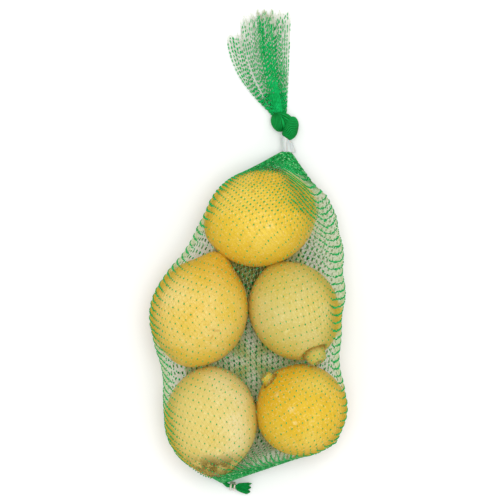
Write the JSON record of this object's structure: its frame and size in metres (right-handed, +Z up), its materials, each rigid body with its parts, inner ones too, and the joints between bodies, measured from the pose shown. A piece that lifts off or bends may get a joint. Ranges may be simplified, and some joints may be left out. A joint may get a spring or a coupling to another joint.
{
  "type": "net of lemons",
  "caption": "Knitted green net of lemons lying flat, gathered and knotted at the top with a loose fanned tail, crimped at the base.",
  "frame": {"origin": "middle of the bounding box's underside, on the table that the net lies on", "axes": "+Y along the net from its base clip to the tips of its tail, +X across it, +Z up from the table"},
  "size_m": [0.1251, 0.3142, 0.0618],
  "materials": {
    "netting": "satin knitted plastic yarn",
    "lemon": "waxy dimpled peel",
    "strip": "thin cloudy plastic strip",
    "wire": "dull crimped wire"
  },
  "bodies": {
    "root": {"net": "netting", "neck_band": "strip", "base_clip": "wire"}
  },
  "joints": []
}
